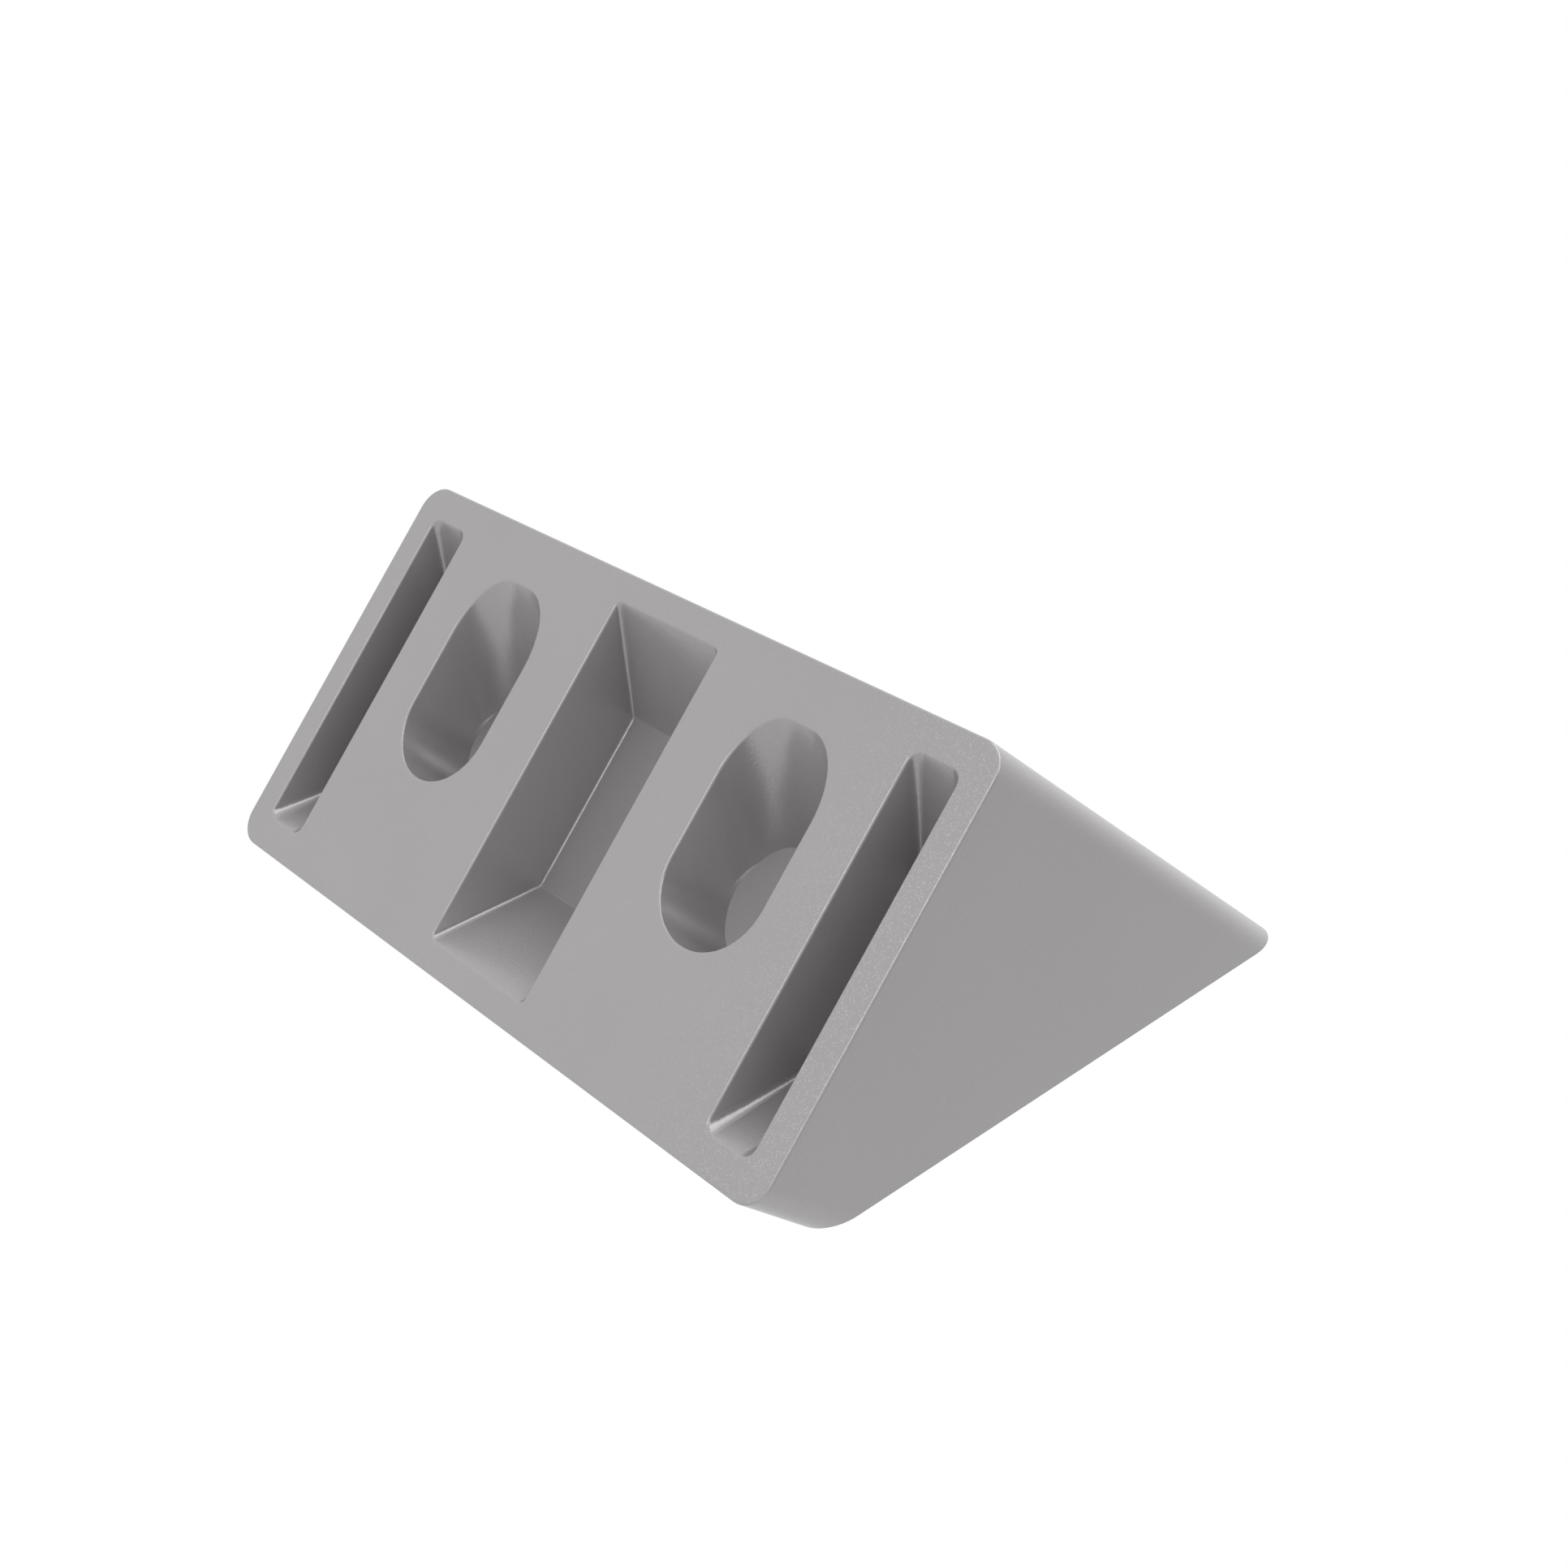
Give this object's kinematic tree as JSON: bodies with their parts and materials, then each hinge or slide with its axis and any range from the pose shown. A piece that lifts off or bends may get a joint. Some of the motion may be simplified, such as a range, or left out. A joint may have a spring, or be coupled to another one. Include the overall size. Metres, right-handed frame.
{
  "type": "t-slot corner bracket",
  "caption": "One-piece cast gusset that bolts a beam to a post of slotted framing, with ribs between its legs and a sloping open side.",
  "frame": {"origin": "centre of the flat face that meets the post", "axes": "-Y points out of the post face, +Z points out of the beam face, and X runs across the bracket along its longest side"},
  "size_m": [0.09, 0.0549, 0.045],
  "materials": {
    "casting": "die-cast and fine blasted, matt light grey"
  },
  "bodies": {
    "root": {"bracket": "casting"}
  },
  "joints": []
}
